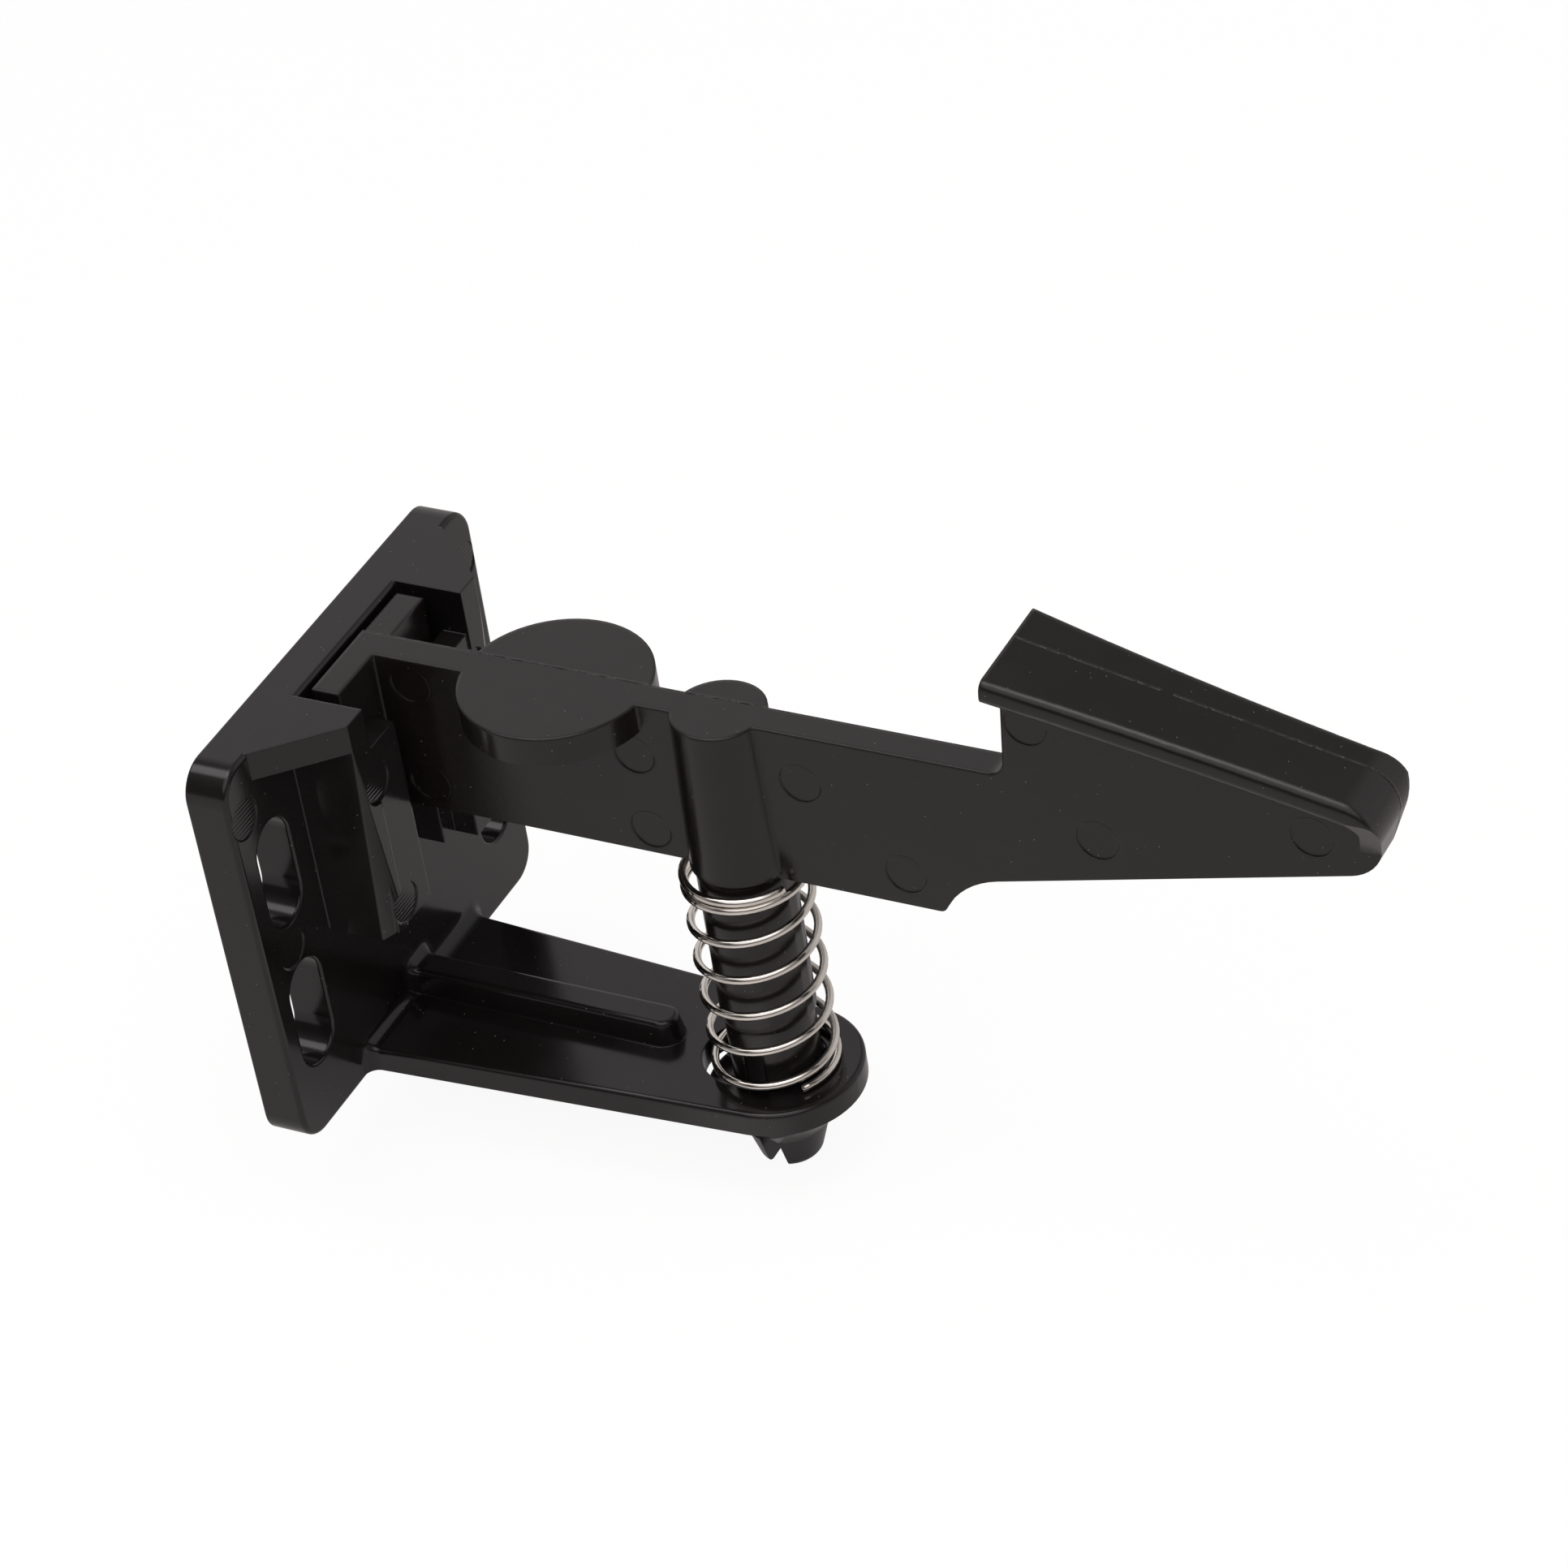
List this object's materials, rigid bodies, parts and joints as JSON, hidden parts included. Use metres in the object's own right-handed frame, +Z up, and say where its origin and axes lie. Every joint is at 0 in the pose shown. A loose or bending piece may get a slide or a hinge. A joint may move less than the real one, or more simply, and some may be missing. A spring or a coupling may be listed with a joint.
{
  "type": "safety cabinet latch",
  "caption": "Sprung safety latch for a cabinet door: slotted plate with pocket and lower arm, pressed blade with thumb disc and hook, and a coil spring on a post.",
  "frame": {"origin": "middle of the mounting plate's flat back face", "axes": "+X forward along the latch towards the hook, +Z up, Y across the plate"},
  "size_m": [0.1084, 0.0462, 0.0654],
  "materials": {
    "bracket_plastic": "glossy black moulded plastic",
    "arm_plastic": "satin black moulded plastic",
    "spring_wire": "bright plated steel wire"
  },
  "bodies": {
    "bracket": {"mounting_bracket": "bracket_plastic", "spring": "spring_wire"},
    "arm": {"latch_arm": "arm_plastic"}
  },
  "joints": [
    {"name": "latch_pivot", "type": "hinge", "parent": "bracket", "child": "arm", "pos_m": [0.00659, 0, 0.0131], "axis": [0, 1, 0], "range_deg": [0, 5], "stiffness_Nm_per_rad": 1.5, "springref_deg": -5.73, "deforming": ["spring"]}
  ]
}
